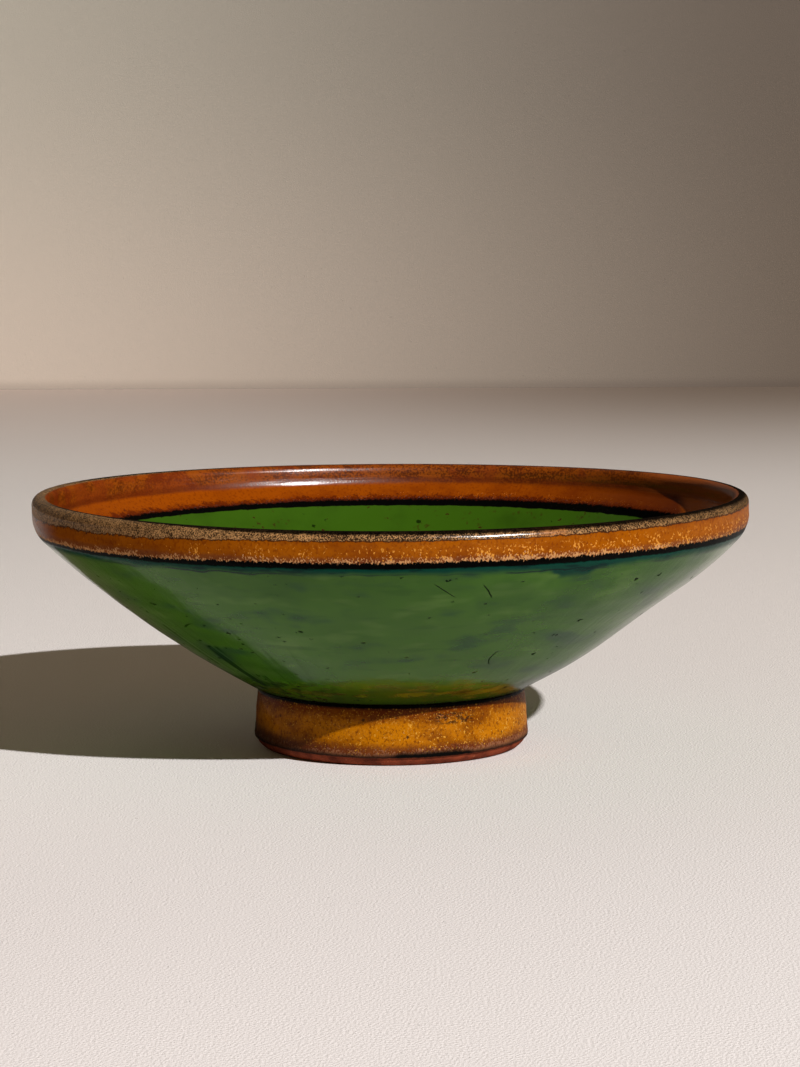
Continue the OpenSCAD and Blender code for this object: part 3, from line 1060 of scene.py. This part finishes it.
def footLayers(f):
    level = f.height + f.wander(*edgeWander["foot"])
    low = glazeEdges["footBare"]
    top = glazeEdges["footLineTop"]
    joint = glazeEdges["jointLow"]
    # the edge line is black where it pools and brown elsewhere
    g = lineGlaze
    pool = f.patch(*g["pool"]) * 0.7 + f.wander(*g["poolWander"]) + f.wander(*g["poolRagged"])
    edge = {**lineLayer(f), "colour": f.mix(g["brown"], g["main"], f.fade(pool, 0.1, 0.5))}
    layer = over(f, clayLayer(f), edge, f.fade(level, *softEdge(low, "footLine")))
    amber = footLayer(f, top, joint)
    layer = over(f, layer, amber, f.fade(level - pool, *softEdge(top, "footAmber")))
    return over(f, layer, lineLayer(f), f.fade(level, *softEdge(joint, "footJoint")))


def outerFinish(name, first, last):
    f = Finish(name)
    return f.shader(outsideLayers(f, first, last))


def innerFinish(name, first, last):
    f = Finish(name)
    return f.shader(insideLayers(f, first, last), shine=surfaceFeel["innerShine"])


def lipFinish(name):
    # speckled outside, rust inside, with a dark line along the crest
    g = ironLip
    f = Finish(name)
    inward = lipCentre.x - f.radius + f.wander(*g["crestWander"])
    west = f.across(*g["turnSide"])
    inside = insideLayers(f, "amber", "rust")
    layer = over(f, inside, outsideLayers(f, "amber", "lip"), f.fade(inward - west * 0.9, *g["seam"]))
    # at the right it breaks up down the outside
    right = f.across(*g["breakSide"])
    reach = inward + f.wander(*g["crestRagged"]) * (1 + right * 1.5) - west * 1.25
    start, full = g["crestReach"]
    crest = f.fade(reach, start, full + right * 0.5) * f.fade(inward - west * 0.3, *g["crestBack"])
    crest = crest * f.across(*g["endSide"])
    layer = stain(f, layer, g["crest"], crest * 0.96)
    layer = {**layer, "dull": f.most(layer["dull"], crest * 0.85)}
    return f.shader(layer, shine=surfaceFeel["innerShine"])


def footFinish(name):
    f = Finish(name)
    return f.shader(footLayers(f))


def clayFinish(name):
    f = Finish(name)
    return f.shader(clayLayer(f), surfaceFeel["clayRelief"])


print("recipes read")

# The pieces, each standing for the node of the same place: the step along its outline, the turns round it and
# the lobes that its edges drift in

bowlBodyWork = {"step": 2.0, "turns": 360, "lobes": 1.0}
footRingWork = {"step": 0.6, "turns": 640, "lobes": 1.0}
jointSlipWork = {"step": 1.0, "turns": 360, "lobes": 1.0}
outerGreenWork = {"step": 0.95, "turns": 880, "lobes": 1.0}
innerGreenWork = {"step": 1.1, "turns": 720, "lobes": 1.0}
rimWork = {"step": 0.4, "turns": 1200, "lobes": 1.0}
footAmberWork = {"step": 0.4, "turns": 640, "lobes": 2.0}
footLineWork = {"step": 0.15, "turns": 640, "lobes": 2.0}

clay = clayFinish("bareRedClay")
footGlaze = footFinish("footGlaze")


def outerBand(name, low, high, work, finish, drift="rimOut"):
    outline = outerCoat(glazeEdges[low], glazeEdges[high], work["step"], drift)
    return throwPiece(name, outline, work, finish)


def innerBand(name, low, high, work, finish):
    outline = innerCoat(glazeEdges[low], glazeEdges[high], work["step"])
    return throwPiece(name, outline, work, finish)


pieces = {
    "bowl_body": ("clay", throwPiece("bowlBody", bowlOutline(bowlBodyWork["step"]), bowlBodyWork, clay)),
    "foot_ring": ("clay", throwPiece("footRing", ringOutline(footRingWork["step"]), footRingWork, clay)),
    "luting_slip": ("slip", throwPiece("jointSlip", slipOutline(jointSlipWork["step"]), jointSlipWork, clay)),
    "outer_green_glaze": ("green_glaze", outerBand(
        "outerGreen", "jointTop", "greenOut", outerGreenWork,
        outerFinish("outerGreenGlaze", "green", "line"))),
    "inner_green_glaze": ("liner_glaze", innerBand(
        "innerGreen", "axisIn", "greenIn", innerGreenWork,
        innerFinish("innerGreenGlaze", "liner", "line"))),
    "outer_amber_glaze": ("amber_glaze", outerBand(
        "outerAmber", "amberOut", "lipOut", rimWork, outerFinish("outerAmberGlaze", "line", "lip"))),
    "inner_amber_glaze": ("amber_glaze", innerBand(
        "innerAmber", "amberIn", "lipIn", rimWork, innerFinish("innerAmberGlaze", "line", "rust"))),
    "lip_glaze": ("iron_glaze", throwPiece(
        "lipIron", lipCoat(rimWork["step"]), rimWork, lipFinish("lipIronGlaze"))),
    "outer_rim_line": ("black_glaze", outerBand(
        "outerLine", "greenOut", "amberOut", rimWork, outerFinish("outerLineGlaze", "green", "amber"))),
    "inner_rim_line": ("black_glaze", innerBand(
        "innerLine", "greenIn", "amberIn", rimWork, innerFinish("innerLineGlaze", "liner", "amber"))),
    "foot_joint_line": ("black_glaze", outerBand(
        "footJointLine", "jointLow", "jointTop", footLineWork, footGlaze, "foot")),
    "foot_amber_glaze": ("amber_glaze", outerBand(
        "footAmber", "footLineTop", "jointLow", footAmberWork, footGlaze, "foot")),
    "foot_edge_line": ("black_glaze", outerBand(
        "footEdgeLine", "footBare", "footLineTop", footLineWork, footGlaze, "foot")),
}
for node, (slot, piece) in pieces.items():
    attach(piece, "root")
    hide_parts(node)
print("pieces placed", len(pieces))

# Studio: pale table that sweeps up to a backdrop, both with painted shade, one soft lamp and a dim warm fill

studio = {
    "tableFront": -2.5, "backdrop": 1.49, "backdropHeight": 3.0, "halfWidth": 4.0,
    "sweepRadius": 0.0008, "sweepSteps": 12,
    # tones on the left and the right, from the front of the table to the back and up the backdrop, painting
    # the lamp's fall-off and shade, darker to the back and the right;
    # the numbers before them are millimetres behind the bowl's axis
    "front": (tone(239, 230, 227), tone(235, 227, 224)),
    "table": [
        (-200, 0, tone(250, 242, 238), tone(237, 229, 224)),
        (0, 350, tone(252, 244, 240), tone(245, 236, 231)),
        (600, 1500, tone(246, 228, 219), tone(172, 152, 136)),
    ],
    # a painted shadow where the backdrop meets the table
    "backdropFootShade": (tone(208, 193, 179), tone(104, 89, 77)),
    "backdropLow": (tone(232, 217, 202), tone(113, 98, 84)),
    "backdropHigh": (tone(207, 200, 186), tone(109, 97, 86)),
    "fanFrom": 760, "fanSpread": 0.13,  # left and right fan out from a point in front
    "wallRise": 300, "wallHalf": 450, "wallLean": 100, "wallFoot": 9, "wallStart": (0.001, 0.03),
    "speckle": 0.6, "pits": 1.4, "pitLevel": (0.68, 0.76), "pitDepth": 0.6,
    # shares of the table and the room that the glaze mirrors, and where on the table they change
    "mirrored": {"before": 0.04, "under": 0.35, "behind": 1.0, "backdrop": 0.15, "room": 0.15},
    "mirrorUnder": (-115, -85), "mirrorBehind": (-60, 180),
    "lampTurn": -54.4, "lampRise": 33.4, "lampDistance": 2.8, "lampSize": 0.045, "lampWatts": 103.0,
    "fill": (0.077, 0.057, 0.026),
}
viewpoint = {
    "place": (0.0024, -0.760, 0.13638), "pitchDown": 6.222, "roll": -0.209, "focalPixels": 3025.3,
    "photoHeight": 1067, "sensor": 36.0, "clipStart": 0.05,
}


def studioSweep():
    s = studio
    outline = [(s["tableFront"], 0.0)]
    sweepCentre = Vector((s["backdrop"] - s["sweepRadius"], s["sweepRadius"]))
    for i in range(s["sweepSteps"] + 1):
        outline.append(tuple(onCircle(sweepCentre, s["sweepRadius"], -90 + 90 * i / s["sweepSteps"])))
    outline.append((s["backdrop"], s["backdropHeight"]))
    verts = [(x, y, z) for y, z in outline for x in (-s["halfWidth"], s["halfWidth"])]
    faces = [(2 * i, 2 * i + 1, 2 * i + 3, 2 * i + 2) for i in range(len(outline) - 1)]
    mesh = bpy.data.meshes.new("studioSweep")
    mesh.from_pydata(verts, [], faces)
    sweep = bpy.data.objects.new("studioSweep", mesh)
    bpy.context.scene.collection.objects.link(sweep)
    f = Finish("paleTable")
    spread = f.apart(f.place)
    back = spread.sibling("Y")
    aside = spread.sibling("X")
    up = spread.sibling("Z")
    right = f.fade(aside / (back + s["fanFrom"]), -s["fanSpread"], s["fanSpread"])
    colour = f.mix(*s["front"], right)
    for near, far, leftTone, rightTone in s["table"]:
        colour = f.mix(colour, f.mix(leftTone, rightTone, right), f.fade(back, near, far))
    rise = f.fade(up, 0, s["wallRise"])
    # painted shade across the backdrop, darker to the right
    shade = f.fade(aside + rise * s["wallLean"], -s["wallHalf"], s["wallHalf"])
    foot, low, high = [f.mix(*s[name], shade) for name in ("backdropFootShade", "backdropLow", "backdropHigh")]
    backdrop = f.mix(f.mix(foot, low, f.fade(up, 0, s["wallFoot"])), high, rise)
    wall = f.fade(up, *s["wallStart"])
    colour = f.mix(colour, backdrop, wall)
    # the glaze mirrors little of the table before it
    m = s["mirrored"]
    glossy = f.node("ShaderNodeLightPath", None, None, "Is Glossy Ray")
    shown = m["before"] + f.fade(back, *s["mirrorUnder"]) * (m["under"] - m["before"])
    shown = shown + f.fade(back, *s["mirrorBehind"]) * (m["behind"] - m["under"])
    shown = shown + wall * (m["backdrop"] - m["behind"])
    colour = f.mix(colour, (0.0, 0.0, 0.0, 1.0), glossy * (1 - shown))
    speckle = f.grain(s["speckle"], 30.0, detail=3)
    pits = f.fade(f.grain(s["pits"], 31.0, detail=3), *s["pitLevel"])
    relief = speckle - pits * s["pitDepth"]
    plaster = {"colour": colour, "rough": 0.8 + speckle * 0.1, "relief": relief, "dull": 0}
    mesh.materials.append(f.shader(plaster, surfaceFeel["tableRelief"]))


def studioLight():
    s = studio
    turn = math.radians(s["lampTurn"])
    rise = math.radians(s["lampRise"])
    toward = Vector((math.cos(rise) * math.cos(turn), math.cos(rise) * math.sin(turn), math.sin(rise)))
    lamp = bpy.data.lights.new("keyLamp", "AREA")
    lamp.shape = "DISK"
    lamp.size = s["lampSize"]
    lamp.energy = s["lampWatts"]
    key = bpy.data.objects.new("keyLamp", lamp)
    key.location = toward * s["lampDistance"]
    key.rotation_euler = toward.to_track_quat("Z", "Y").to_euler()
    bpy.context.scene.collection.objects.link(key)
    world = bpy.data.worlds.new("dimRoom")
    world.use_nodes = True
    room = Bench(world.node_tree)
    glossy = room.node("ShaderNodeLightPath", None, None, "Is Glossy Ray")
    strength = 1 - glossy * (1 - s["mirrored"]["room"])
    air = room.node("ShaderNodeBackground", None, {"Color": (*s["fill"], 1.0), "Strength": strength})
    room.node("ShaderNodeOutputWorld", None, {"Surface": air})
    bpy.context.scene.world = world


def photoCamera():
    v = viewpoint
    lens = bpy.data.cameras.new("photoCamera")
    lens.sensor_width = v["sensor"]
    lens.lens = v["focalPixels"] / v["photoHeight"] * v["sensor"]
    lens.clip_start = v["clipStart"]
    camera = bpy.data.objects.new("photoCamera", lens)
    camera.matrix_world = (Matrix.Translation(v["place"])
                           @ Matrix.Rotation(math.radians(90 - v["pitchDown"]), 4, "X")
                           @ Matrix.Rotation(math.radians(v["roll"]), 4, "Z"))
    bpy.context.scene.collection.objects.link(camera)
    bpy.context.scene.camera = camera


studioSweep()
studioLight()
photoCamera()
bpy.context.scene.view_settings.view_transform = "Standard"
print("studio set")
